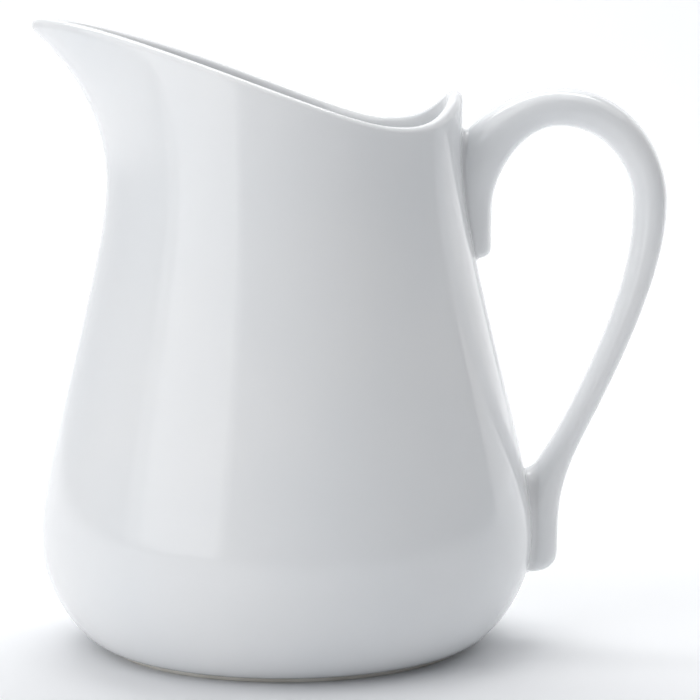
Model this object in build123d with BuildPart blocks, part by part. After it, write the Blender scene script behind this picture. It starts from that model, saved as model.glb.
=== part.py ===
from build123d import *

import os
from math import cos, hypot, pi, sin

# A glazed porcelain pitcher, in millimetres, +Z up. It stands on z = 0 with the belly's axis on the
# Z axis. The spout points to -X and the handle to +X, and its two halves mirror each other across Y.

# Foot: a low bare ring under the glazed body, with the base recessed inside it.
FOOT_RADIUS = 49.0
FOOT_INNER_RADIUS = 43.5
FOOT_HEIGHT = 1.0
FOOT_EDGE = 0.4
RECESS_HEIGHT = 2.6
RECESS_TAPER = 55.0

# Belly: one curve from the foot to the widest level, and one from there to where the spout begins.
# A reach, rise or drop is how far the curve follows its end's direction.
WALL = 4.0
BASE_THICKNESS = 5.0
CAVITY_FLOOR_RADIUS = 44.0
BELLY_RADIUS = 66.7
BELLY_HEIGHT = 29.0
FOOT_REACH = 7.6
FOOT_LIFT = 0.7
BELLY_DROP = 12.4
BELLY_RISE = 18.4
SHOULDER_RADIUS = 50.3
SHOULDER_TAPER = 0.2
SHOULDER_RISE = 27.9

# Neck: the waist above the belly, and the slight flare above the waist.
NECK_RADIUS = 47.1
NECK_HEIGHT = 134.0
NECK_POWER = 1.64
LIP_FLARE = 0.6

# Spout: how far the front leans out at a given height, and how the plan narrows to the tip.
SPOUT_START = 108.0
SPOUT_REACH = 18.9
SPOUT_REACH_HEIGHT = 165.2
SPOUT_POWER = 3.2
SPOUT_ROUND = 3.0
SPOUT_NARROWING = 0.35
SPOUT_NARROWING_POWER = 4

# The wall is drawn up to here, in even levels, before the rim is cut.
WALL_TOP = 175.0
WALL_LEVELS = 11
SECTION_POINTS = 36

# Rim: its top edge from the side, as (x, z), from the spout's tip to the thumb rest at the back.
RIM = [
    (-70, 164.0), (-67, 167.0), (-62, 168.9), (-56, 168.2), (-46, 165.6), (-30, 160.5), (0, 149.5),
    (18, 143.8), (28, 141.5), (35, 141.7), (40, 144.4), (44, 148.2), (48, 150.6), (54, 151.5),
]
RIM_ROUNDING = 1.4

# Handle: the middle line of its loop, as (x, z) points where its curves meet. Its ends are centred on
# the wall's surface. A reach, rise or drop is how far a curve follows its end's direction.
HANDLE_TOP_END = (47.0, 104.4)
HANDLE_TOP_BEND = (47.0, 117.9)
HANDLE_CREST = (73.1, 145.2)
HANDLE_OUTSIDE = (98.2, 119.5)
HANDLE_LOWER_BEND = (78.6, 59.6)
HANDLE_FOOT_BEND = (66.5, 23.0)
HANDLE_FOOT_END = (66.5, 18.6)
HANDLE_LEAN = (0.46, 0.89)
TOP_BEND_RISE = 11.4
CREST_REACH_IN = 14.2
CREST_REACH_OUT = 17.2
OUTSIDE_RISE = 10.2
OUTSIDE_DROP = 8.0
LOWER_BEND_RISE = 41.0
LOWER_BEND_DROP = 16.4
FOOT_BEND_RISE = 15.5
HANDLE_END_ROUNDING = 2.0
STATION_SPACING = 6.0

# Half sizes of the handle's oval section at those points, across the loop (depth) and along Y (width).
HANDLE_DEPTHS = (8.2, 8.2, 5.1, 4.4, 3.3, 7.3, 7.3)
HANDLE_WIDTHS = (8.2, 8.2, 7.8, 7.2, 6.6, 7.6, 7.6)

# Luting: the seam of slip on the wall round each end of the handle.
LUTING_SPREAD = 2.0
LUTING_RISE = 1.2
LUTING_DIVIDE = 75.0


def wall_radius(height):
    """Outer radius of the wall away from the spout, at a height above the spout's start."""
    if height >= NECK_HEIGHT:
        return NECK_RADIUS + LIP_FLARE * ((height - NECK_HEIGHT) / (WALL_TOP - NECK_HEIGHT)) ** 2
    below_neck = (NECK_HEIGHT - height) / (NECK_HEIGHT - SPOUT_START)
    return NECK_RADIUS + (SHOULDER_RADIUS - NECK_RADIUS) * below_neck**NECK_POWER


def wall_section(height, inset):
    """Points round the wall in plan, as (side, front), on its outer face or inset from it."""
    radius = wall_radius(height) - inset
    rise = (height - SPOUT_START) / (SPOUT_REACH_HEIGHT - SPOUT_START)
    reach = SPOUT_REACH * rise**SPOUT_POWER
    narrowing = SPOUT_NARROWING * rise**SPOUT_POWER
    lean = SPOUT_POWER * reach / (height - SPOUT_START)
    reach -= inset * (hypot(1, lean) - 1)
    points = []
    for step in range(SECTION_POINTS):
        angle = 2 * pi * step / SECTION_POINTS
        frontness = (1 + sin(angle)) / 2
        side = radius * cos(angle) * (1 - narrowing * frontness**SPOUT_NARROWING_POWER)
        front = radius * sin(angle) + reach * frontness**SPOUT_ROUND
        points.append((side, front))
    return points


def level_plane(height):
    """A level plane whose first axis is +Y and whose second axis points to the spout."""
    return Plane(origin=(0, 0, height), x_dir=(0, 1, 0), z_dir=(0, 0, 1))


def wall_levels(inset):
    """The wall's sections to loft through, from the spout's start up."""
    with BuildSketch(level_plane(SPOUT_START)) as lowest:
        Circle(SHOULDER_RADIUS - inset)
    levels = [lowest.sketch]
    for step in range(1, WALL_LEVELS + 1):
        height = SPOUT_START + (WALL_TOP - SPOUT_START) * step / WALL_LEVELS
        with BuildSketch(level_plane(height)) as level:
            with BuildLine():
                Spline(wall_section(height, inset), periodic=True)
            make_face()
        levels.append(level.sketch)
    return levels


def smooth_step(start, end, t):
    """Value that eases from start to end as t goes from 0 to 1."""
    return start + (end - start) * t * t * (3 - 2 * t)


def vessel(inset, floor_height, floor_radius):
    """The vessel filled in, inset all over from its outer face, up to above the rim."""
    widest = BELLY_RADIUS - inset
    shoulder = SHOULDER_RADIUS - inset
    with BuildPart() as filled:
        with BuildSketch(Plane.YZ):
            with BuildLine():
                Polyline((0, SPOUT_START), (0, floor_height), (floor_radius, floor_height))
                Bezier(
                    (floor_radius, floor_height),
                    (floor_radius + FOOT_REACH, floor_height + FOOT_LIFT),
                    (widest, BELLY_HEIGHT - BELLY_DROP),
                    (widest, BELLY_HEIGHT),
                )
                Bezier(
                    (widest, BELLY_HEIGHT),
                    (widest, BELLY_HEIGHT + BELLY_RISE),
                    (shoulder + SHOULDER_TAPER * SHOULDER_RISE, SPOUT_START - SHOULDER_RISE),
                    (shoulder, SPOUT_START),
                )
                Line((shoulder, SPOUT_START), (0, SPOUT_START))
            make_face()
        revolve(axis=Axis.Z)
        loft(wall_levels(inset))
    return filled.part


def handle_loop(growth):
    """The handle's whole loop, grown all over, with its ends still buried in the wall."""
    top_x, top_z = HANDLE_TOP_BEND
    crest_x, crest_z = HANDLE_CREST
    outside_x, outside_z = HANDLE_OUTSIDE
    lower_x, lower_z = HANDLE_LOWER_BEND
    foot_x, foot_z = HANDLE_FOOT_BEND
    lean_x, lean_z = HANDLE_LEAN
    with BuildLine(Plane.XZ):
        spans = [
            Line((HANDLE_TOP_END[0], HANDLE_TOP_END[1] - growth), HANDLE_TOP_BEND),
            Bezier(
                HANDLE_TOP_BEND,
                (top_x, top_z + TOP_BEND_RISE),
                (crest_x - CREST_REACH_IN, crest_z),
                HANDLE_CREST,
            ),
            Bezier(
                HANDLE_CREST,
                (crest_x + CREST_REACH_OUT, crest_z),
                (outside_x, outside_z + OUTSIDE_RISE),
                HANDLE_OUTSIDE,
            ),
            Bezier(
                HANDLE_OUTSIDE,
                (outside_x, outside_z - OUTSIDE_DROP),
                (lower_x + LOWER_BEND_RISE * lean_x, lower_z + LOWER_BEND_RISE * lean_z),
                HANDLE_LOWER_BEND,
            ),
            Bezier(
                HANDLE_LOWER_BEND,
                (lower_x - LOWER_BEND_DROP * lean_x, lower_z - LOWER_BEND_DROP * lean_z),
                (foot_x, foot_z + FOOT_BEND_RISE),
                HANDLE_FOOT_BEND,
            ),
            Line(HANDLE_FOOT_BEND, (HANDLE_FOOT_END[0], HANDLE_FOOT_END[1] - growth)),
        ]
    ovals = []
    for number, span in enumerate(spans):
        stations = max(1, round(span.length / STATION_SPACING))
        for station in range(stations + 1):
            if station == 0 and number > 0:
                continue
            along = station / stations
            depth = smooth_step(HANDLE_DEPTHS[number], HANDLE_DEPTHS[number + 1], along) + growth
            width = smooth_step(HANDLE_WIDTHS[number], HANDLE_WIDTHS[number + 1], along) + growth
            with BuildSketch(Plane(origin=span @ along, x_dir=(0, 1, 0), z_dir=span % along)) as oval:
                Ellipse(width, depth)
            ovals.append(oval.sketch)
    with BuildPart() as loop:
        loft(ovals)
        fillet(loop.faces().filter_by(GeomType.PLANE).edges(), HANDLE_END_ROUNDING)
    return loop.part


outside = vessel(0, FOOT_HEIGHT, FOOT_RADIUS)
cavity = vessel(WALL, RECESS_HEIGHT + BASE_THICKNESS, CAVITY_FLOOR_RADIUS)
luting_skin = vessel(-LUTING_RISE, FOOT_HEIGHT, FOOT_RADIUS)

# Everything above the rim's edge.
with BuildPart() as above_rim:
    with BuildSketch(Plane.XZ.offset(-2 * BELLY_RADIUS)):
        with BuildLine():
            Spline(RIM)
            Polyline(
                RIM[-1],
                (2 * WALL_TOP, RIM[-1][1]),
                (2 * WALL_TOP, 2 * WALL_TOP),
                (-2 * WALL_TOP, 2 * WALL_TOP),
                (-2 * WALL_TOP, RIM[0][1]),
                RIM[0],
            )
        make_face()
    extrude(amount=4 * BELLY_RADIUS)

with BuildPart() as body:
    add(outside)
    add(cavity, mode=Mode.SUBTRACT)
    add(above_rim.part, mode=Mode.SUBTRACT)
    fillet(body.edges().filter_by_position(Axis.Z, NECK_HEIGHT, WALL_TOP), RIM_ROUNDING)
    with BuildSketch(Plane.XY.offset(FOOT_HEIGHT)):
        Circle(FOOT_INNER_RADIUS)
    extrude(amount=RECESS_HEIGHT - FOOT_HEIGHT, taper=RECESS_TAPER, mode=Mode.SUBTRACT)

with BuildPart() as foot_ring:
    with BuildSketch():
        Circle(FOOT_RADIUS)
        Circle(FOOT_INNER_RADIUS, mode=Mode.SUBTRACT)
    extrude(amount=FOOT_HEIGHT)
    chamfer(foot_ring.edges().group_by(Axis.Z)[0], FOOT_EDGE)

with BuildPart() as handle:
    add(handle_loop(0))
    add(outside, mode=Mode.SUBTRACT)

# Both seams of slip: the skin on the wall, where a slightly larger handle would pass through it.
with BuildPart() as luting:
    add(handle_loop(LUTING_SPREAD))
    add(luting_skin, mode=Mode.INTERSECT)
    add(outside, mode=Mode.SUBTRACT)
    add(handle.part, mode=Mode.SUBTRACT)

with BuildPart() as upper_handle_joint:
    add(luting.part)
    split(bisect_by=Plane.XY.offset(LUTING_DIVIDE), keep=Keep.TOP)

with BuildPart() as lower_handle_joint:
    add(luting.part)
    split(bisect_by=Plane.XY.offset(LUTING_DIVIDE), keep=Keep.BOTTOM)

os.makedirs("parts", exist_ok=True)
body.part.label = "body"
foot_ring.part.label = "foot_ring"
handle.part.label = "handle"
upper_handle_joint.part.label = "upper_handle_joint"
lower_handle_joint.part.label = "lower_handle_joint"
export_step(body.part, "parts/body.step")
export_step(foot_ring.part, "parts/foot_ring.step")
export_step(handle.part, "parts/handle.step")
export_step(upper_handle_joint.part, "parts/upper_handle_joint.step")
export_step(lower_handle_joint.part, "parts/lower_handle_joint.step")
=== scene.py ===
"""A glazed porcelain pitcher with a loop handle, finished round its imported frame.

The geometry is worked out in millimetres in the frame's own axes, with the standing face at zero
height, the belly's axis on Z, the spout towards -X and the handle towards +X. Each mesh is brought to
metres as it is finished, so a piece lies where its frame node lies.
"""

import logging
from bisect import bisect_right
from dataclasses import dataclass
from enum import Enum
from functools import lru_cache
from math import acos, atan2, copysign, cos, hypot, pi, radians, sin, tan
from typing import Optional, Sequence

import bmesh
import bpy
from mathutils import Matrix, Vector


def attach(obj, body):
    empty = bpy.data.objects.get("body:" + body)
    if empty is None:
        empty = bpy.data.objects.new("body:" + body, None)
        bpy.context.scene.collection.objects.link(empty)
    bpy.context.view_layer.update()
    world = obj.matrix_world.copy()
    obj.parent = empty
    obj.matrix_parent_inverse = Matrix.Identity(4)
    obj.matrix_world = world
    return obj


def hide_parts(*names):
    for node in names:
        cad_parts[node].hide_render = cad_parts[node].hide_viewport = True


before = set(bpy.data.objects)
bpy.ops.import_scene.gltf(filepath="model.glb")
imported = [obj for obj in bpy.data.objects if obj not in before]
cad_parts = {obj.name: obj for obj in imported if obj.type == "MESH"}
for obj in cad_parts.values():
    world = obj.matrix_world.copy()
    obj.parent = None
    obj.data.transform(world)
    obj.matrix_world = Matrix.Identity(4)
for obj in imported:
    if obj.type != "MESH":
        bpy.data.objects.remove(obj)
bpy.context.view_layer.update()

LOG = logging.getLogger("pitcher")
MM = 0.001
UP = Vector((0.0, 0.0, 1.0))
ACROSS = Vector((0.0, 1.0, 0.0))
POLE_GAP = 1e-4
CURVE_HALVINGS = 40
RIM_HALVINGS = 30
SEAM_HALVINGS = 14
# Blender's noise hardly ever leaves this part of its range from 0 to 1.
NOISE_LOW, NOISE_HIGH = 0.3, 0.7
MOTTLE_START, MOTTLE_END = 0.35, 0.65
# In metres, for the lights. Every other length above the studio is in millimetres.
PITCHER_MIDDLE = (0.0, 0.0, 0.085)


class Slot(Enum):
    """The record's material slots."""

    GLAZED = "glazed_porcelain"
    BARE = "bare_porcelain"


def srgb(code: str) -> tuple[float, float, float, float]:
    """Turn an sRGB hex colour to Blender's linear colour.

    Args:
        code: Six hex digits, such as "E8ECEF".

    Returns:
        Linear red, green, blue and an alpha of 1.
    """
    parts = [int(code[i : i + 2], 16) / 255 for i in (0, 2, 4)]
    linear = [c / 12.92 if c <= 0.04045 else ((c + 0.055) / 1.055) ** 2.4 for c in parts]
    return (linear[0], linear[1], linear[2], 1.0)


def ease(start: float, end: float, t: float) -> float:
    """Return the value that eases from start to end as t goes from 0 to 1."""
    return start + (end - start) * t * t * (3 - 2 * t)


@dataclass(frozen=True)
class Span:
    """One cubic Bezier curve in a side view, as four (across, up) points in millimetres."""

    points: tuple[tuple[float, float], ...]

    def at(self, t: float) -> tuple[float, float]:
        """Return the point at t, from 0 at the start to 1 at the end."""
        w = ((1 - t) ** 3, 3 * t * (1 - t) ** 2, 3 * t * t * (1 - t), t**3)
        return (
            sum(k * p[0] for k, p in zip(w, self.points)),
            sum(k * p[1] for k, p in zip(w, self.points)),
        )

    def run(self, t: float) -> tuple[float, float]:
        """Return the unit direction in which the curve runs at t."""
        w = ((1 - t) ** 2, 2 * t * (1 - t), t * t)
        steps = [
            (b[0] - a[0], b[1] - a[1]) for a, b in zip(self.points[:-1], self.points[1:])
        ]
        dx = sum(k * s[0] for k, s in zip(w, steps))
        dz = sum(k * s[1] for k, s in zip(w, steps))
        length = hypot(dx, dz)
        return (dx / length, dz / length)

    def where(self, value: float, axis: int) -> float:
        """Find t where one coordinate of a curve that only rises reaches a value.

        Args:
            value: The coordinate to reach.
            axis: 0 for across, 1 for up.

        Returns:
            The curve's t there, kept within 0 to 1.
        """
        low, high = 0.0, 1.0
        for _ in range(CURVE_HALVINGS):
            middle = (low + high) / 2
            if self.at(middle)[axis] < value:
                low = middle
            else:
                high = middle
        return (low + high) / 2


@dataclass(frozen=True)
class WallShape:
    """The outer face of the vessel's wall: belly, waist, flared spout and the line of the rim.

    Turn is the angle round the axis in radians, 0 at the handle and pi at the spout.
    """

    thickness: float = 4.0
    foot_radius: float = 49.0
    foot_height: float = 1.0
    belly_radius: float = 66.7
    belly_height: float = 29.0
    foot_reach: float = 7.6
    foot_lift: float = 0.7
    belly_drop: float = 12.4
    belly_rise: float = 18.4
    shoulder_radius: float = 50.3
    shoulder_taper: float = 0.2
    shoulder_rise: float = 27.9
    neck_radius: float = 47.1
    neck_height: float = 134.0
    neck_power: float = 1.64
    lip_flare: float = 0.6
    wall_top: float = 175.0
    spout_start: float = 108.0
    spout_reach: float = 19.0
    spout_reach_height: float = 165.2
    spout_power: float = 3.2
    spout_round: float = 3.0
    spout_narrowing: float = 0.35
    spout_narrowing_power: int = 4
    rim_spans: tuple[Span, ...] = (
        Span(((-66.0, 168.9), (-54.0, 169.6), (-22.0, 157.6), (0.0, 149.6))),
        Span(((0.0, 149.6), (14.0, 144.5), (22.0, 141.5), (30.0, 141.4))),
        Span(((30.0, 141.4), (38.0, 141.3), (42.0, 144.2), (45.4, 150.0))),
    )

    def foot_curve(self) -> Span:
        """Return the outer curve from the foot's edge to the widest level."""
        return Span(
            (
                (self.foot_radius, self.foot_height),
                (self.foot_radius + self.foot_reach, self.foot_height + self.foot_lift),
                (self.belly_radius, self.belly_height - self.belly_drop),
                (self.belly_radius, self.belly_height),
            )
        )

    def belly_curve(self) -> Span:
        """Return the outer curve from the widest level to where the spout begins."""
        return Span(
            (
                (self.belly_radius, self.belly_height),
                (self.belly_radius, self.belly_height + self.belly_rise),
                (
                    self.shoulder_radius + self.shoulder_taper * self.shoulder_rise,
                    self.spout_start - self.shoulder_rise,
                ),
                (self.shoulder_radius, self.spout_start),
            )
        )

    def radius(self, height: float) -> float:
        """Return the outer radius away from the spout at a height."""
        if height < self.belly_height:
            curve = self.foot_curve()
            return curve.at(curve.where(height, 1))[0]
        if height < self.spout_start:
            curve = self.belly_curve()
            return curve.at(curve.where(height, 1))[0]
        if height < self.neck_height:
            below = (self.neck_height - height) / (self.neck_height - self.spout_start)
            swell = self.shoulder_radius - self.neck_radius
            return self.neck_radius + swell * below**self.neck_power
        above = (height - self.neck_height) / (self.wall_top - self.neck_height)
        return self.neck_radius + self.lip_flare * above**2

    def outside(self, turn: float, height: float) -> Vector:
        """Return the point of the outer face at a turn and height above the spout's start."""
        radius = self.radius(height)
        rise = max(0.0, height - self.spout_start)
        growth = (rise / (self.spout_reach_height - self.spout_start)) ** self.spout_power
        frontness = (1 - cos(turn)) / 2
        narrowing = self.spout_narrowing * growth * frontness**self.spout_narrowing_power
        return Vector(
            (
                radius * cos(turn) - self.spout_reach * growth * frontness**self.spout_round,
                radius * sin(turn) * (1 - narrowing),
                height,
            )
        )

    def outward(self, turn: float, height: float) -> Vector:
        """Return the unit normal of the outer face."""
        small_turn, small_rise = 0.002, 0.05
        round_it = self.outside(turn + small_turn, height) - self.outside(turn - small_turn, height)
        up_it = self.outside(turn, height + small_rise) - self.outside(turn, height - small_rise)
        return round_it.cross(up_it).normalized()

    def rim_line(self, across: float) -> float:
        """Return the height of the rim's crown where it is this far along X."""
        first, last = self.rim_spans[0].points[0], self.rim_spans[-1].points[3]
        across = min(max(across, first[0]), last[0])
        for span in self.rim_spans:
            if across <= span.points[3][0]:
                return span.at(span.where(across, 0))[1]
        return last[1]

    @lru_cache(maxsize=None)
    def rim_height(self, turn: float) -> float:
        """Return the height of the centre of the rim's round edge at a turn."""
        low, high = self.neck_height, self.wall_top
        half = self.thickness / 2
        for _ in range(RIM_HALVINGS):
            height = (low + high) / 2
            centre = self.outside(turn, height) - half * self.outward(turn, height)
            if centre.z + half < self.rim_line(centre.x):
                low = height
            else:
                high = height
        return (low + high) / 2

    @lru_cache(maxsize=None)
    def rim_frame(self, turn: float) -> tuple[Vector, Vector, Vector]:
        """Return the centre of the rim's round edge at a turn, and its outward and upward normals."""
        half = self.thickness / 2
        small_turn = 0.01

        def centre(angle: float) -> Vector:
            """Return the centre of the round edge at an angle."""
            height = self.rim_height(angle)
            return self.outside(angle, height) - half * self.outward(angle, height)

        outward = self.outward(turn, self.rim_height(turn))
        run = centre(turn + small_turn) - centre(turn - small_turn)
        return centre(turn), outward, outward.cross(run).normalized()


def add_chain(bm: bmesh.types.BMesh, points: Sequence[tuple[float, float]]) -> list:
    """Add an open chain of edges in the side view, ready to be spun.

    Args:
        bm: The mesh to add to.
        points: The chain's corners as (distance from the axis, height).

    Returns:
        The chain's vertices and edges.
    """
    corners = [bm.verts.new((across, 0.0, up)) for across, up in points]
    return corners + [bm.edges.new(pair) for pair in zip(corners[:-1], corners[1:])]


def spin_round(bm: bmesh.types.BMesh, geometry: list, steps: int) -> None:
    """Spin a chain a whole turn round Z and close it on itself and at its poles.

    Args:
        bm: The mesh that holds the chain.
        geometry: The chain's vertices and edges.
        steps: Faces round the turn.
    """
    bmesh.ops.spin(
        bm, geom=geometry, cent=(0, 0, 0), axis=UP, angle=2 * pi, steps=steps, use_merge=True
    )
    bmesh.ops.remove_doubles(bm, verts=bm.verts, dist=POLE_GAP)


def in_fixed_order(
    bm: bmesh.types.BMesh,
) -> tuple[list[tuple[float, float, float]], list[list[int]]]:
    """Number a mesh's corners and faces by where they lie, so that every run gives the same mesh.

    Args:
        bm: The mesh.

    Returns:
        The corners' places, and the corners of each face.
    """
    corners = sorted(bm.verts, key=lambda corner: tuple(corner.co))
    number = {corner: place for place, corner in enumerate(corners)}
    faces = []
    for face in bm.faces:
        ring = [number[corner] for corner in face.verts]
        first = ring.index(min(ring))
        faces.append(ring[first:] + ring[:first])
    return [tuple(corner.co) for corner in corners], sorted(faces)


def finish_piece(
    bm: bmesh.types.BMesh, name: str, finish: bpy.types.Material, node: str, levels: int
) -> bpy.types.Object:
    """Make a worked mesh a finished piece that stands for one frame node.

    Args:
        bm: The closed mesh, in millimetres. It is used up.
        name: The piece's name.
        finish: Its material.
        node: The frame node that it replaces.
        levels: Levels of live subdivision.

    Returns:
        The piece's object, riding on the root body.
    """
    bmesh.ops.recalc_face_normals(bm, faces=bm.faces)
    bmesh.ops.scale(bm, vec=(MM, MM, MM), verts=bm.verts)
    corners, faces = in_fixed_order(bm)
    bm.free()
    mesh = bpy.data.meshes.new(name)
    mesh.from_pydata(corners, [], faces)
    mesh.shade_smooth()
    mesh.materials.append(finish)
    piece = bpy.data.objects.new(name, mesh)
    bpy.context.scene.collection.objects.link(piece)
    smoothing = piece.modifiers.new("smoothing", "SUBSURF")
    smoothing.levels = levels
    smoothing.render_levels = levels
    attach(piece, "root")
    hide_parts(node)
    LOG.info("%s: %d faces before smoothing, in place of %s", name, len(mesh.polygons), node)
    return piece


@dataclass(frozen=True)
class Vessel:
    """The cast vessel: belly, waist, spout and rounded rim in one wall, with a recessed base.

    It is spun as a plain round jug with a straight neck, and the neck's wall is then drawn out to the
    spout and up to the sloping rim.
    """

    wall: WallShape
    steps_round: int = 120
    foot_rows: int = 9
    belly_rows: int = 16
    neck_rows: int = 14
    rim_rows: int = 8
    corner_rows: int = 7
    plain_brim: float = 150.0
    recess_height: float = 2.6
    recess_radius: float = 41.2
    foot_inner_radius: float = 43.5
    floor_height: float = 7.6
    floor_radius: float = 44.0
    floor_reach: float = 7.6

    def outline(self) -> list[tuple[float, float]]:
        """Return the plain jug's section, from the base's middle up the outside and down the inside."""
        wall = self.wall
        foot, belly = wall.foot_curve(), wall.belly_curve()
        inner_widest = wall.belly_radius - wall.thickness
        corner = Span(
            (
                (inner_widest, wall.belly_height),
                (inner_widest, wall.belly_height - wall.belly_drop),
                (self.floor_radius + self.floor_reach, self.floor_height),
                (self.floor_radius, self.floor_height),
            )
        )
        half = wall.thickness / 2
        middle = wall.shoulder_radius - half
        lift = (self.plain_brim - wall.spout_start) / self.neck_rows
        points = [(0.0, self.recess_height), (self.recess_radius / 2, self.recess_height)]
        points += [(self.recess_radius, self.recess_height), (self.foot_inner_radius, wall.foot_height)]
        points += [foot.at(row / self.foot_rows) for row in range(self.foot_rows)]
        points += [belly.at(row / self.belly_rows) for row in range(self.belly_rows + 1)]
        points += [
            (wall.shoulder_radius, wall.spout_start + lift * row) for row in range(1, self.neck_rows)
        ]
        for row in range(self.rim_rows + 1):
            swing = pi * row / self.rim_rows
            points.append((middle + half * cos(swing), self.plain_brim + half * sin(swing)))
        points += [
            (middle - half, wall.spout_start + lift * row) for row in range(self.neck_rows - 1, 0, -1)
        ]
        for row in range(self.belly_rows, 0, -1):
            (across, up), (dx, dz) = belly.at(row / self.belly_rows), belly.run(row / self.belly_rows)
            points.append((across - wall.thickness * dz, up + wall.thickness * dx))
        points += [corner.at(row / self.corner_rows) for row in range(self.corner_rows + 1)]
        points += [(self.floor_radius / 2, self.floor_height), (0.0, self.floor_height)]
        return points

    def draw_out(self, corner: Vector) -> Vector:
        """Carry a corner of the plain neck to its place on the drawn wall.

        Args:
            corner: A point of the plain neck, above where the spout starts.

        Returns:
            Its place in the wall of the spout, the waist or the rounded rim.
        """
        wall = self.wall
        half = wall.thickness / 2
        # Rounded, so that all the rows at one turn share the rim that is worked out for it.
        turn = round(atan2(corner.y, corner.x), 5)
        depth = wall.shoulder_radius - hypot(corner.x, corner.y)
        if corner.z > self.plain_brim + POLE_GAP:
            centre, outward, upward = wall.rim_frame(turn)
            return centre + (half - depth) * outward + (corner.z - self.plain_brim) * upward
        share = (corner.z - wall.spout_start) / (self.plain_brim - wall.spout_start)
        height = wall.spout_start + share * (wall.rim_height(turn) - wall.spout_start)
        return wall.outside(turn, height) - depth * wall.outward(turn, height)

    def build(self, glaze: bpy.types.Material) -> bpy.types.Object:
        """Spin the plain jug, draw out its spout and rim, and glaze it."""
        bm = bmesh.new()
        spin_round(bm, add_chain(bm, self.outline()), self.steps_round)
        for corner in bm.verts:
            if corner.co.z > self.wall.spout_start + POLE_GAP:
                corner.co = self.draw_out(corner.co)
        return finish_piece(bm, "glazed_vessel", glaze, "body", 1)


@dataclass(frozen=True)
class FootRing:
    """The low standing ring, wiped bare of glaze, with softly rounded edges."""

    outer_radius: float = 48.7
    inner_radius: float = 43.5
    height: float = 1.0
    buried: float = 0.8
    edge_rounding: float = 0.45
    edge_segments: int = 3
    steps_round: int = 120

    def build(self, biscuit: bpy.types.Material) -> bpy.types.Object:
        """Spin the ring's section, with its standing edges rounded, and leave it bare."""
        bm = bmesh.new()
        top = self.height + self.buried
        inset = self.edge_rounding
        swings = [pi / 2 * step / self.edge_segments for step in range(self.edge_segments + 1)]
        quarter = [(inset * (1 - cos(swing)), inset * (1 - sin(swing))) for swing in swings]
        section = [(self.inner_radius + inset, top), (self.inner_radius, self.height)]
        section += [(self.inner_radius + across, up) for across, up in quarter]
        section += [(self.outer_radius - across, up) for across, up in reversed(quarter)]
        section += [(self.outer_radius, self.height), (self.outer_radius - inset, top), section[0]]
        spin_round(bm, add_chain(bm, section), self.steps_round)
        return finish_piece(bm, "bare_foot_ring", biscuit, "foot_ring", 1)


@dataclass(frozen=True)
class Section:
    """The handle's cross-section at one place along it, in millimetres."""

    middle: Vector
    along: Vector
    outward: Vector
    half_depth: float
    half_width: float


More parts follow.
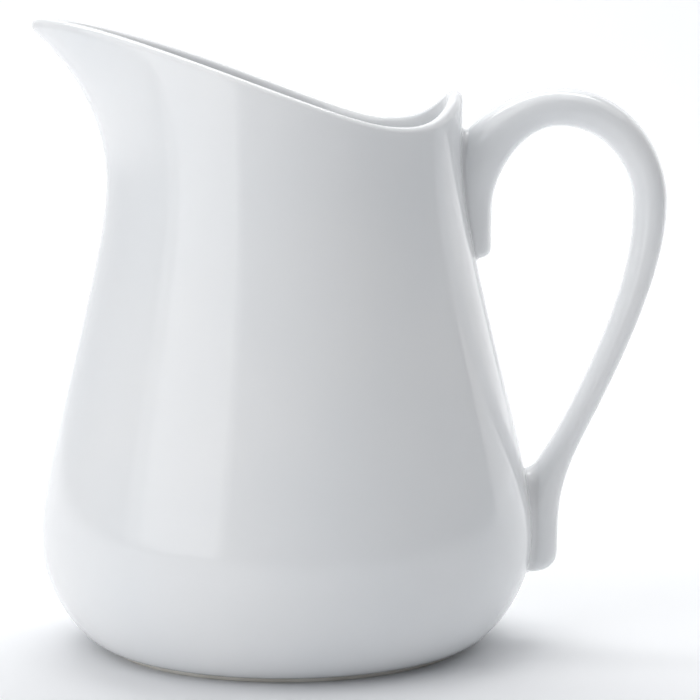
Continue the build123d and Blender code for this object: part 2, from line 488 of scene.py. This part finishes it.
@dataclass(frozen=True)
class HandleShape:
    """The loop handle's middle line and its sections, from its upper end to its lower end.

    Half depths and half widths are those where the spans meet, and they ease from one to the next. The
    pairs for the rounded ends are (upper, lower).
    """

    spans: tuple[Span, ...] = (
        Span(((47.0, 104.4), (47.0, 108.9), (47.0, 113.4), (47.0, 117.9))),
        Span(((47.0, 117.9), (47.0, 129.3), (58.9, 145.2), (73.1, 145.2))),
        Span(((73.1, 145.2), (90.3, 145.2), (98.2, 129.7), (98.2, 119.5))),
        Span(((98.2, 119.5), (98.2, 111.5), (97.5, 96.1), (78.6, 59.6))),
        Span(((78.6, 59.6), (71.1, 45.0), (66.5, 38.5), (66.5, 23.0))),
        Span(((66.5, 23.0), (66.5, 21.5), (66.5, 20.1), (66.5, 18.6))),
    )
    half_depths: tuple[float, ...] = (8.2, 8.2, 5.1, 4.4, 3.3, 7.3, 7.3)
    half_widths: tuple[float, ...] = (8.2, 8.2, 7.8, 7.2, 6.6, 7.6, 7.6)
    squareness: float = 2.2
    end_squareness: tuple[float, float] = (3.4, 2.5)
    end_length: tuple[float, float] = (4.0, 6.5)
    steps_a_span: int = 40
    search_steps: int = 24
    search_refinements: int = 4
    least_fullness: float = 0.05

    @lru_cache(maxsize=None)
    def stations(self) -> tuple[tuple[float, int, float], ...]:
        """Return (length so far, span, place on the span) for close points of the middle line."""
        found = [(0.0, 0, 0.0)]
        last = self.spans[0].at(0)
        for number, span in enumerate(self.spans):
            for step in range(1, self.steps_a_span + 1):
                point = span.at(step / self.steps_a_span)
                length = found[-1][0] + hypot(point[0] - last[0], point[1] - last[1])
                found.append((length, number, step / self.steps_a_span))
                last = point
        return tuple(found)

    @lru_cache(maxsize=None)
    def length(self) -> float:
        """Return the length of the middle line."""
        return self.stations()[-1][0]

    def end_fullness(self, along: float) -> float:
        """Return how much of its full size the section has near a rounded end."""
        lower = along > self.length() / 2
        from_end = max(0.0, self.length() - along if lower else along)
        short = max(0.0, 1 - from_end / self.end_length[lower])
        return (1 - short ** self.end_squareness[lower]) ** (1 / self.end_squareness[lower])

    @lru_cache(maxsize=None)
    def section(self, along: float) -> Section:
        """Return the section at a length along the middle line, with its full size."""
        stations = self.stations()
        along = min(max(along, 0.0), self.length())
        upper = min(max(bisect_right(stations, (along, len(self.spans), 0.0)), 1), len(stations) - 1)
        (start, _, place), (end, number, next_place) = stations[upper - 1], stations[upper]
        if next_place < place:
            place = 0.0
        t = place + (next_place - place) * (along - start) / (end - start)
        (x, z), (dx, dz) = self.spans[number].at(t), self.spans[number].run(t)
        return Section(
            Vector((x, 0.0, z)),
            Vector((dx, 0.0, dz)),
            Vector((dz, 0.0, -dx)),
            ease(self.half_depths[number], self.half_depths[number + 1], t),
            ease(self.half_widths[number], self.half_widths[number + 1], t),
        )

    def surface(self, along: float, swing: float, fullness: float) -> Vector:
        """Return a point of the handle's surface.

        Args:
            along: Length along the middle line.
            swing: Angle round the section, 0 on its outer side.
            fullness: Share of the section's full size.

        Returns:
            The point.
        """
        cut = self.section(along)
        power = 2 / self.squareness
        deep = copysign(abs(cos(swing)) ** power, cos(swing)) * cut.half_depth * fullness
        wide = copysign(abs(sin(swing)) ** power, sin(swing)) * cut.half_width * fullness
        return cut.middle + deep * cut.outward + wide * ACROSS

    def beyond(self, point: Vector, low: float, high: float) -> float:
        """Tell how far a point is outside the handle, as a share of its size.

        Args:
            point: The point, in millimetres.
            low: Where the search along the middle line starts.
            high: Where it ends.

        Returns:
            Below 0 inside the handle, 0 on its surface and above 0 outside.
        """
        steps = self.search_steps
        nearest = min(
            (low + (high - low) * step / steps for step in range(steps + 1)),
            key=lambda along: (point - self.section(along).middle).length_squared,
        )
        for _ in range(self.search_refinements):
            cut = self.section(nearest)
            nearest += (point - cut.middle).dot(cut.along)
        cut = self.section(nearest)
        offset = point - cut.middle
        past_end = abs(offset.dot(cut.along)) if not 0 < nearest < self.length() else 0.0
        fullness = max(self.end_fullness(nearest), self.least_fullness)
        deep = abs(offset.dot(cut.outward)) / (cut.half_depth * fullness)
        wide = abs(offset.y) / (cut.half_width * fullness)
        size = (deep**self.squareness + wide**self.squareness) ** (1 / self.squareness)
        return size - 1 + past_end / cut.half_depth

    def facing(self, point: Vector, low: float, high: float) -> tuple[Vector, float]:
        """Return the outward normal near a point, and the signed distance from the surface to it."""
        small = 0.05
        slope = Vector(
            [
                (
                    self.beyond(point + small * axis, low, high)
                    - self.beyond(point - small * axis, low, high)
                )
                / (2 * small)
                for axis in (Vector((1, 0, 0)), ACROSS, UP)
            ]
        )
        return slope.normalized(), self.beyond(point, low, high) / slope.length


@dataclass(frozen=True)
class Handle:
    """The cast loop handle, with rounded ends that sit in the wall's thickness."""

    wall: WallShape
    shape: HandleShape
    steps_round: int = 48
    rows: int = 132
    end_share: float = 0.06
    bedding: float = 2.0

    def lay(self, corner: Vector) -> Vector:
        """Carry a corner of a unit sphere to the handle, its poles to the handle's two ends.

        Args:
            corner: A point of the sphere.

        Returns:
            Its place on the handle, no deeper in the wall than the bedding.
        """
        shape = self.shape
        share = acos(max(-1.0, min(1.0, corner.z))) / pi
        from_end, lower = min(share, 1 - share), share > 0.5
        upper_length, lower_length = shape.end_length
        if from_end < self.end_share:
            swell = pi / 2 * from_end / self.end_share
            power = 2 / shape.end_squareness[lower]
            bulge = shape.end_length[lower] * (1 - cos(swell) ** power)
            along = shape.length() - bulge if lower else bulge
            fullness = sin(swell) ** power
        else:
            straight = (share - self.end_share) / (1 - 2 * self.end_share)
            along = upper_length + straight * (shape.length() - upper_length - lower_length)
            fullness = 1.0
        placed = shape.surface(along, atan2(corner.y, corner.x), fullness)
        if placed.z < self.wall.rim_spans[-1].points[3][1]:
            deepest = self.wall.radius(placed.z) - self.bedding
            outness = hypot(placed.x, placed.y)
            if outness < deepest:
                placed.x *= deepest / outness
                placed.y *= deepest / outness
        return placed

    def build(self, glaze: bpy.types.Material) -> bpy.types.Object:
        """Draw a sphere out along the loop, bed its ends in the wall and glaze it."""
        bm = bmesh.new()
        bmesh.ops.create_uvsphere(
            bm, u_segments=self.steps_round, v_segments=self.rows, radius=1.0
        )
        for corner in bm.verts:
            corner.co = self.lay(corner.co)
        return finish_piece(bm, "glazed_loop_handle", glaze, "handle", 1)


@dataclass(frozen=True)
class SlipSeam:
    """A seam of slip wiped to a hollow fillet where one end of the handle meets the wall.

    The seam goes round a pad, which is given by its middle's height and half its size on the wall. Low
    and high bound the stretch of the handle's middle line that ends in the pad. In a narrow corner the
    fillet would run far out, so it has a longest reach on the wall and another on the handle. Its edges
    sink a little under both surfaces and its tail runs on beneath them, so that no edge of it shows.
    """

    name: str
    node: str
    wall: WallShape
    shape: HandleShape
    pad_height: float
    pad_half_width: float
    pad_half_height: float
    low: float
    high: float
    fillet_radius: float
    longest_on_wall: float
    longest_on_handle: float
    sink: float = 0.1
    tail: float = 2.0
    buried: float = 0.4
    narrowest_opening: float = 20.0
    steps_round: int = 96
    section_steps: int = 12
    buried_corners: int = 3

    def on_wall(self, direction: float, reach: float) -> Vector:
        """Return the wall's point in a direction from the pad's middle, at a share of its size."""
        height = self.pad_height + reach * self.pad_half_height * sin(direction)
        sideways = reach * self.pad_half_width * cos(direction)
        return self.wall.outside(sideways / self.wall.radius(height), height)

    def in_handle(self, direction: float, reach: float) -> bool:
        """Tell whether that point of the wall lies inside the handle."""
        return self.shape.beyond(self.on_wall(direction, reach), self.low, self.high) < 0

    def meeting(self, direction: float) -> Vector:
        """Return where the handle's surface meets the wall in a direction from the pad's middle."""
        stride, furthest = 0.1, 3.0
        reach = stride
        while reach < furthest and self.in_handle(direction, reach):
            reach += stride
        inside, outside = reach - stride, reach
        for _ in range(SEAM_HALVINGS):
            reach = (inside + outside) / 2
            if self.in_handle(direction, reach):
                inside = reach
            else:
                outside = reach
        return self.on_wall(direction, reach)

    def under_wall(self, point: Vector, depth: float) -> Vector:
        """Return the point of the wall nearest in height and direction, sunk to a depth."""
        angle = atan2(point.y, point.x)
        return self.wall.outside(angle, point.z) - depth * self.wall.outward(angle, point.z)

    def under_handle(self, point: Vector, depth: float) -> Vector:
        """Return the point of the handle's surface nearest to this one, sunk to a depth."""
        for _ in range(3):
            facing, gap = self.shape.facing(point, self.low, self.high)
            point = point - gap * facing
        return point - depth * facing

    def fillet(self, before: Vector, corner: Vector, after: Vector) -> list[Vector]:
        """Return the seam's closed section where the handle meets the wall.

        Args:
            before: The meeting point before this one.
            corner: The meeting point.
            after: The meeting point after it.

        Returns:
            The section's points, along the hollow face from the wall to the handle and back underneath.
        """
        along = (after - before).normalized()
        off_wall = self.wall.outward(atan2(corner.y, corner.x), corner.z)
        off_handle, _ = self.shape.facing(corner, self.low, self.high)
        over_wall = along.cross(off_wall).normalized()
        if over_wall.dot(off_handle) < 0:
            over_wall.negate()
        up_handle = along.cross(off_handle).normalized()
        if up_handle.dot(off_wall) < 0:
            up_handle.negate()
        half_opening = max(over_wall.angle(up_handle), radians(self.narrowest_opening)) / 2
        reach = self.fillet_radius / tan(half_opening)
        wall_reach = min(reach, self.longest_on_wall)
        handle_reach = min(reach, self.longest_on_handle)
        on_wall = self.under_wall(corner + wall_reach * over_wall, self.sink)
        on_handle = self.under_handle(corner + handle_reach * up_handle, self.sink)
        weight = sin(half_opening)
        hollow = self.section_steps - self.buried_corners - 1
        points = []
        for step in range(hollow + 1):
            t = step / hollow
            shares = ((1 - t) ** 2, 2 * t * (1 - t) * weight, t * t)
            total = shares[0] * on_wall + shares[1] * corner + shares[2] * on_handle
            points.append(total / sum(shares))
        points.append(self.under_handle(on_handle + self.tail * up_handle, self.buried))
        points.append(corner - self.buried * (off_wall + off_handle))
        points.append(self.under_wall(on_wall + self.tail * over_wall, self.buried))
        return points

    def build(self, glaze: bpy.types.Material) -> bpy.types.Object:
        """Spin a plain ring and carry its sections to the seam round the handle's end."""
        turns = [2 * pi * step / self.steps_round for step in range(self.steps_round)]
        corners = [self.meeting(turn) for turn in turns]
        sections = [
            self.fillet(corners[step - 1], corners[step], corners[(step + 1) % self.steps_round])
            for step in range(self.steps_round)
        ]
        bm = bmesh.new()
        ring_radius = 4.0
        bmesh.ops.create_circle(
            bm,
            segments=self.section_steps,
            radius=1.0,
            matrix=Matrix.Translation((ring_radius, 0, 0)) @ Matrix.Rotation(pi / 2, 4, "X"),
        )
        spin_round(bm, list(bm.verts) + list(bm.edges), self.steps_round)
        for corner in bm.verts:
            turn = atan2(corner.co.y, corner.co.x)
            swing = atan2(corner.co.z, hypot(corner.co.x, corner.co.y) - ring_radius)
            step = round(turn / (2 * pi) * self.steps_round) % self.steps_round
            place = round(swing / (2 * pi) * self.section_steps) % self.section_steps
            corner.co = sections[step][place]
        return finish_piece(bm, self.name, glaze, self.node, 1)


def add_node(
    tree: bpy.types.NodeTree,
    kind: str,
    settings: Optional[dict[str, object]] = None,
    links: Optional[dict[str, tuple[bpy.types.Node, str]]] = None,
) -> bpy.types.Node:
    """Add a shader node with its settings and links.

    Args:
        tree: The material's nodes.
        kind: Blender's name for the kind of node.
        settings: Values by input name, or by property name where no input has it.
        links: By input name, the node and output that feed it.

    Returns:
        The new node.
    """
    node = tree.nodes.new(kind)
    for name, value in (settings or {}).items():
        if name in node.inputs:
            node.inputs[name].default_value = value
        else:
            setattr(node, name, value)
    for name, (source, output) in (links or {}).items():
        tree.links.new(source.outputs[output], node.inputs[name])
    return node


def per_metre(size_mm: float) -> float:
    """Return the noise scale whose features are about this many millimetres across."""
    return 1 / (size_mm * MM)


def mottle(
    tree: bpy.types.NodeTree, place: bpy.types.Node, size_mm: float, first: str, second: str
) -> bpy.types.Node:
    """Add a soft mottle of two colours.

    Args:
        tree: The material's nodes.
        place: The texture coordinate node.
        size_mm: About how large the patches are.
        first: One colour, as sRGB hex.
        second: The other.

    Returns:
        The ramp node whose Color output is the mottle.
    """
    noise = add_node(
        tree,
        "ShaderNodeTexNoise",
        {"Scale": per_metre(size_mm), "Detail": 2.0},
        {"Vector": (place, "Object")},
    )
    ramp = add_node(tree, "ShaderNodeValToRGB", links={"Fac": (noise, "Fac")})
    ends = zip(ramp.color_ramp.elements, (MOTTLE_START, MOTTLE_END), (first, second))
    for end, position, colour in ends:
        end.position = position
        end.color = srgb(colour)
    return ramp


@dataclass(frozen=True)
class GlazedPorcelain:
    """Hard white porcelain under a clear feldspar glaze, fired glossy.

    The glaze mirrors the lights sharply over a slightly cool white. Its faint ripple, where it ran and
    settled in the kiln, keeps their edges from looking ruled, and a little light passing under the
    surface softens the shadows as in real porcelain.
    """

    white: str = "F0F1F2"
    cooler_white: str = "ECEEF0"
    patch_mm: float = 60.0
    ripple_mm: float = 14.0
    ripple_depth_mm: float = 0.02
    pinhole_mm: float = 1.6
    pinhole_depth_mm: float = 0.0012
    smoothest: float = 0.05
    roughest: float = 0.09
    refraction: float = 1.52
    translucence: float = 0.2
    depth_mm: float = 4.0

    def make(self) -> bpy.types.Material:
        """Return the glaze's material."""
        material = bpy.data.materials.new("glazed porcelain")
        material.use_nodes = True
        tree = material.node_tree
        tree.nodes.clear()
        place = add_node(tree, "ShaderNodeTexCoord")
        colour = mottle(tree, place, self.patch_mm, self.white, self.cooler_white)
        settled = add_node(
            tree,
            "ShaderNodeTexNoise",
            {"Scale": per_metre(self.patch_mm / 2), "Detail": 3.0},
            {"Vector": (place, "Object")},
        )
        roughness = add_node(
            tree,
            "ShaderNodeMapRange",
            {
                "From Min": NOISE_LOW,
                "From Max": NOISE_HIGH,
                "To Min": self.smoothest,
                "To Max": self.roughest,
            },
            {"Value": (settled, "Fac")},
        )
        ripple = add_node(
            tree,
            "ShaderNodeTexNoise",
            {"Scale": per_metre(self.ripple_mm), "Detail": 1.0},
            {"Vector": (place, "Object")},
        )
        rippled = add_node(
            tree,
            "ShaderNodeBump",
            {"Strength": 1.0, "Distance": self.ripple_depth_mm * MM},
            {"Height": (ripple, "Fac")},
        )
        pinhole = add_node(
            tree,
            "ShaderNodeTexNoise",
            {"Scale": per_metre(self.pinhole_mm), "Detail": 1.0},
            {"Vector": (place, "Object")},
        )
        pitted = add_node(
            tree,
            "ShaderNodeBump",
            {"Strength": 1.0, "Distance": self.pinhole_depth_mm * MM},
            {"Height": (pinhole, "Fac"), "Normal": (rippled, "Normal")},
        )
        shader = add_node(
            tree,
            "ShaderNodeBsdfPrincipled",
            {
                "IOR": self.refraction,
                "Subsurface Weight": self.translucence,
                "Subsurface Radius": (1.0, 1.0, 1.0),
                "Subsurface Scale": self.depth_mm * MM,
            },
            {
                "Base Color": (colour, "Color"),
                "Roughness": (roughness, "Result"),
                "Normal": (pitted, "Normal"),
            },
        )
        add_node(tree, "ShaderNodeOutputMaterial", links={"Surface": (shader, "BSDF")})
        return material


@dataclass(frozen=True)
class BarePorcelain:
    """Bare fired porcelain, rubbed smooth where the pitcher stands.

    Without glaze it is dull and a little creamy, with a fine grain and grey marks from tables.
    """

    cream: str = "EAE7E0"
    worn: str = "DAD6CE"
    patch_mm: float = 9.0
    grain_mm: float = 0.5
    grain_depth_mm: float = 0.03
    grain_strength: float = 0.6
    roughness: float = 0.62
    refraction: float = 1.5

    def make(self) -> bpy.types.Material:
        """Return the bare porcelain's material."""
        material = bpy.data.materials.new("bare porcelain")
        material.use_nodes = True
        tree = material.node_tree
        tree.nodes.clear()
        place = add_node(tree, "ShaderNodeTexCoord")
        colour = mottle(tree, place, self.patch_mm, self.cream, self.worn)
        # The real grain is under 0.1 mm, so it is drawn about five times coarser to show at all.
        grain = add_node(
            tree,
            "ShaderNodeTexNoise",
            {"Scale": per_metre(self.grain_mm), "Detail": 4.0},
            {"Vector": (place, "Object")},
        )
        rubbed = add_node(
            tree,
            "ShaderNodeBump",
            {"Strength": self.grain_strength, "Distance": self.grain_depth_mm * MM},
            {"Height": (grain, "Fac")},
        )
        shader = add_node(
            tree,
            "ShaderNodeBsdfPrincipled",
            {"IOR": self.refraction, "Roughness": self.roughness},
            {"Base Color": (colour, "Color"), "Normal": (rubbed, "Normal")},
        )
        add_node(tree, "ShaderNodeOutputMaterial", links={"Surface": (shader, "BSDF")})
        return material


@dataclass(frozen=True)
class StudioPaper:
    """Matt white background paper, which the pitcher stands on."""

    white: str = "F6F7F8"
    duller: str = "F3F4F6"
    patch_mm: float = 400.0
    roughness: float = 0.95
    sheen: float = 0.1

    def make(self) -> bpy.types.Material:
        """Return the paper's material."""
        material = bpy.data.materials.new("white studio paper")
        material.use_nodes = True
        tree = material.node_tree
        tree.nodes.clear()
        place = add_node(tree, "ShaderNodeTexCoord")
        colour = mottle(tree, place, self.patch_mm, self.white, self.duller)
        shader = add_node(
            tree,
            "ShaderNodeBsdfPrincipled",
            {"Roughness": self.roughness, "Specular IOR Level": self.sheen},
            {"Base Color": (colour, "Color")},
        )
        add_node(tree, "ShaderNodeOutputMaterial", links={"Surface": (shader, "BSDF")})
        return material


@dataclass(frozen=True)
class Softbox:
    """A soft studio light seen from the pitcher at an azimuth and elevation.

    Azimuth is in degrees from the camera's side, positive towards the spout. Radiance is relative to a
    fully lit white.
    """

    name: str
    azimuth: float
    elevation: float
    distance: float
    width: float
    height: float
    radiance: float
    aim: tuple[float, float, float] = PITCHER_MIDDLE

    def hang(self) -> bpy.types.Object:
        """Hang the light and turn it to what it is aimed at."""
        turn, rise = radians(self.azimuth), radians(self.elevation)
        away = Vector((-sin(turn) * cos(rise), -cos(turn) * cos(rise), sin(rise)))
        light = bpy.data.lights.new(self.name, "AREA")
        light.shape = "RECTANGLE"
        light.size = self.width
        light.size_y = self.height
        light.energy = pi * self.width * self.height * self.radiance
        lamp = bpy.data.objects.new(self.name, light)
        lamp.location = Vector(PITCHER_MIDDLE) + self.distance * away
        lamp.rotation_euler = (lamp.location - Vector(self.aim)).to_track_quat("Z", "Y").to_euler()
        lamp.visible_camera = False
        bpy.context.scene.collection.objects.link(lamp)
        return lamp


@dataclass(frozen=True)
class Studio:
    """The floor, the lights and the camera, in metres.

    Each softbox is given as name, azimuth, elevation, distance, width, height and radiance.
    """

    paper_half_width: float = 3.0
    paper_back: float = 1.3
    bend_radius: float = 0.5
    bend_steps: int = 16
    backdrop_height: float = 1.6
    camera_place: tuple[float, float, float] = (-0.0169, -0.7400, 0.1750)
    camera_turn: float = 2.63
    camera_pitch: float = 7.33
    lens_mm: float = 141.96
    sensor_mm: float = 36.0
    room_grey: str = "7E7F81"
    lights: tuple[Softbox, ...] = (
        Softbox("window softbox", 54.0, 14.0, 0.96, 0.92, 0.6, 0.75),
        Softbox("window softbox's bright middle", 51.0, 14.0, 0.94, 0.66, 0.6, 0.86),
        Softbox("high window softbox", 54.0, 50.0, 0.95, 0.9, 0.6, 1.36),
        Softbox("right rear softbox", -130.0, 15.0, 1.1, 0.8, 0.8, 0.7),
        Softbox("rear top softbox", 180.0, 60.0, 1.0, 0.9, 0.7, 1.1),
        Softbox("right top softbox", -90.0, 60.0, 1.0, 0.9, 0.7, 0.8),
        Softbox("top softbox", 0.0, 85.0, 1.0, 0.7, 0.7, 0.85),
        Softbox("backdrop light", 180.0, 63.0, 1.6, 1.6, 0.8, 5.2, aim=(0.0, 1.8, 0.35)),
    )

    def lay_paper(self, paper: bpy.types.Material) -> None:
        """Lay the paper as a floor, bend it up behind the pitcher and hang the rest as a backdrop."""
        bm = bmesh.new()
        bmesh.ops.create_grid(bm, x_segments=1, y_segments=1, size=self.paper_half_width)
        bmesh.ops.translate(bm, vec=(0, self.paper_back - self.paper_half_width, 0), verts=bm.verts)
        back = [edge for edge in bm.edges if all(v.co.y > self.paper_back - MM for v in edge.verts)]
        bend = bmesh.ops.spin(
            bm,
            geom=back + list(back[0].verts),
            cent=(0, self.paper_back, self.bend_radius),
            axis=(1, 0, 0),
            angle=pi / 2,
            steps=self.bend_steps,
            use_duplicate=False,
        )
        last = [part for part in bend["geom_last"] if isinstance(part, bmesh.types.BMEdge)]
        raised = bmesh.ops.extrude_edge_only(bm, edges=last)["geom"]
        hung = [part for part in raised if isinstance(part, bmesh.types.BMVert)]
        bmesh.ops.translate(bm, vec=(0, 0, self.backdrop_height), verts=hung)
        for face in bm.faces:
            face.smooth = True
        mesh = bpy.data.meshes.new("studio paper")
        bm.to_mesh(mesh)
        bm.free()
        mesh.materials.append(paper)
        sweep = bpy.data.objects.new("studio paper", mesh)
        bpy.context.scene.collection.objects.link(sweep)

    def light_up(self) -> None:
        """Hang the softboxes and set the dim grey of the room."""
        for softbox in self.lights:
            softbox.hang()
        world = bpy.data.worlds.new("studio room")
        bpy.context.scene.world = world
        world.use_nodes = True
        room = world.node_tree.nodes["Background"]
        room.inputs["Color"].default_value = srgb(self.room_grey)

    def set_camera(self) -> None:
        """Stand the camera in front, looking slightly down."""
        camera = bpy.data.objects.new("camera", bpy.data.cameras.new("camera"))
        camera.data.lens = self.lens_mm
        camera.data.sensor_width = self.sensor_mm
        camera.location = self.camera_place
        camera.rotation_euler = (radians(90 - self.camera_pitch), 0.0, radians(-self.camera_turn))
        bpy.context.scene.collection.objects.link(camera)
        bpy.context.scene.camera = camera
        bpy.context.scene.view_settings.view_transform = "Standard"


def main() -> None:
    """Build and dress the pitcher's pieces, then the studio round them."""
    logging.basicConfig(level=logging.INFO, format="%(name)s: %(message)s")
    glaze = GlazedPorcelain().make()
    biscuit = BarePorcelain().make()
    wall = WallShape()
    shape = HandleShape()
    end_stretch = 60.0
    Vessel(wall).build(glaze)
    FootRing().build(biscuit)
    Handle(wall, shape).build(glaze)
    SlipSeam(
        name="upper_slip_seam",
        node="upper_handle_joint",
        wall=wall,
        shape=shape,
        pad_height=121.0,
        pad_half_width=8.0,
        pad_half_height=17.0,
        low=0.0,
        high=end_stretch,
        fillet_radius=1.1,
        longest_on_wall=6.0,
        longest_on_handle=6.0,
    ).build(glaze)
    SlipSeam(
        name="lower_slip_seam",
        node="lower_handle_joint",
        wall=wall,
        shape=shape,
        pad_height=31.0,
        pad_half_width=8.0,
        pad_half_height=13.0,
        low=shape.length() - end_stretch,
        high=shape.length(),
        fillet_radius=2.4,
        longest_on_wall=3.2,
        longest_on_handle=8.0,
    ).build(glaze)
    studio = Studio()
    studio.lay_paper(StudioPaper().make())
    studio.light_up()
    studio.set_camera()


if __name__ == "__main__":
    main()
